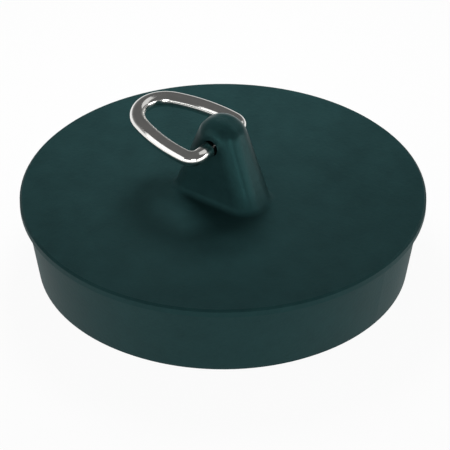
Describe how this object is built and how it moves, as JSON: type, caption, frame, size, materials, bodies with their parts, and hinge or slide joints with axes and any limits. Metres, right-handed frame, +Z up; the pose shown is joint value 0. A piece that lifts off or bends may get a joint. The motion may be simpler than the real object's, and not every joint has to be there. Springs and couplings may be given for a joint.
{
  "type": "sink plug",
  "caption": "Round tapered rubber sink plug with a thin rim, a moulded lug on top and a bent wire pull ring that swings in the lug's eye.",
  "frame": {"origin": "middle of the plug's underside, in the plane that it stands on", "axes": "+Z up out of the plug's top, X along the lug with the ring lying towards -X, Y along the lug's eye"},
  "size_m": [0.047, 0.047, 0.02],
  "materials": {
    "rubber": "moulded satin black",
    "wire": "bright plated steel wire"
  },
  "bodies": {
    "plug": {"plug_body": "rubber"},
    "ring": {"pull_ring": "wire"}
  },
  "joints": [
    {"name": "ring_swing", "type": "hinge", "parent": "plug", "child": "ring", "pos_m": [0, 0, 0.017], "axis": [0, 1, 0], "range_deg": [-40, 208]}
  ]
}
